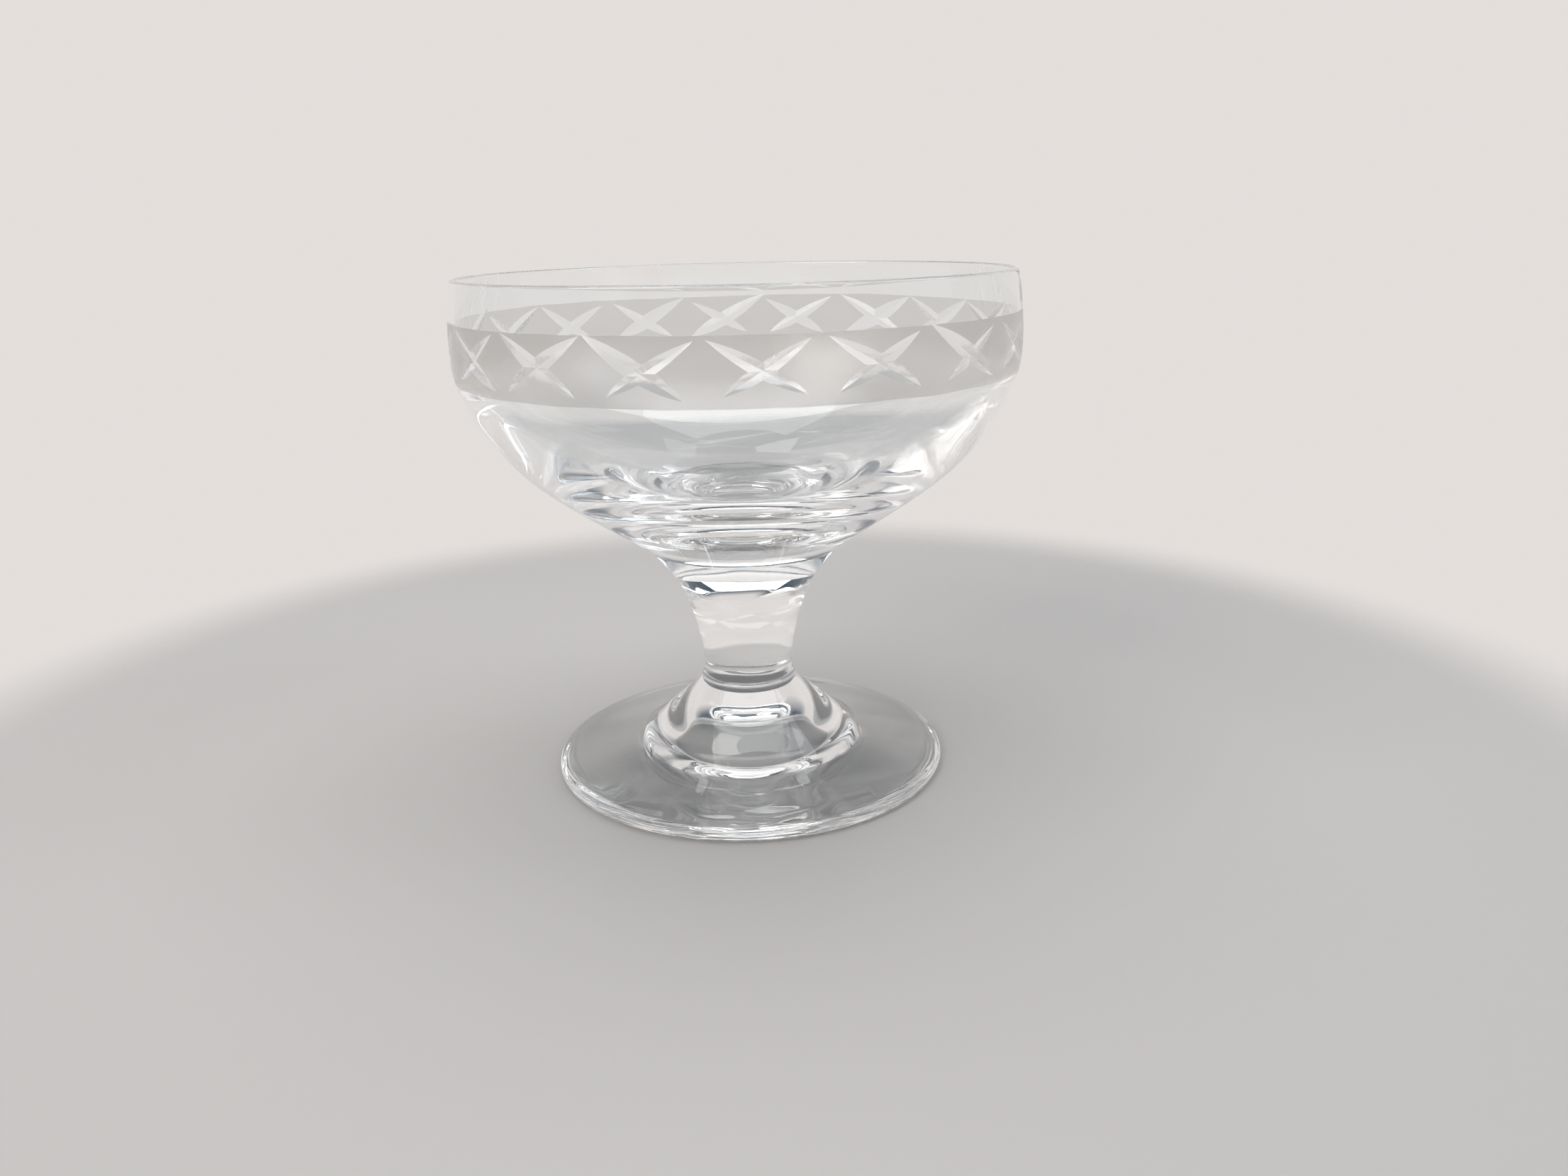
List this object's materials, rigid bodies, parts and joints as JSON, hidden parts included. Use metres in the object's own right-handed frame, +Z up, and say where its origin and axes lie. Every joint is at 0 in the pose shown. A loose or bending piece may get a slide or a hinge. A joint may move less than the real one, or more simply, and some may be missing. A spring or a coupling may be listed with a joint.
{
  "type": "cocktail glass",
  "caption": "Stemmed cocktail glass with a wide rounded bowl, a frosted band cut with crosses, a short solid stem and a domed round foot.",
  "frame": {"origin": "centre of the flat resting ring under the foot, on the surface that the glass stands on", "axes": "+Z up along the axis of the glass; +X and +Y are level; one cut cross lies just right of the middle of the -Y side"},
  "size_m": [0.095, 0.095, 0.0875],
  "materials": {
    "bowl_glass": "clear polished, with a frosted band",
    "stem_glass": "clear fire-polished",
    "foot_glass": "clear fire-polished"
  },
  "bodies": {
    "root": {"bowl": "bowl_glass", "stem": "stem_glass", "foot": "foot_glass"}
  },
  "joints": []
}
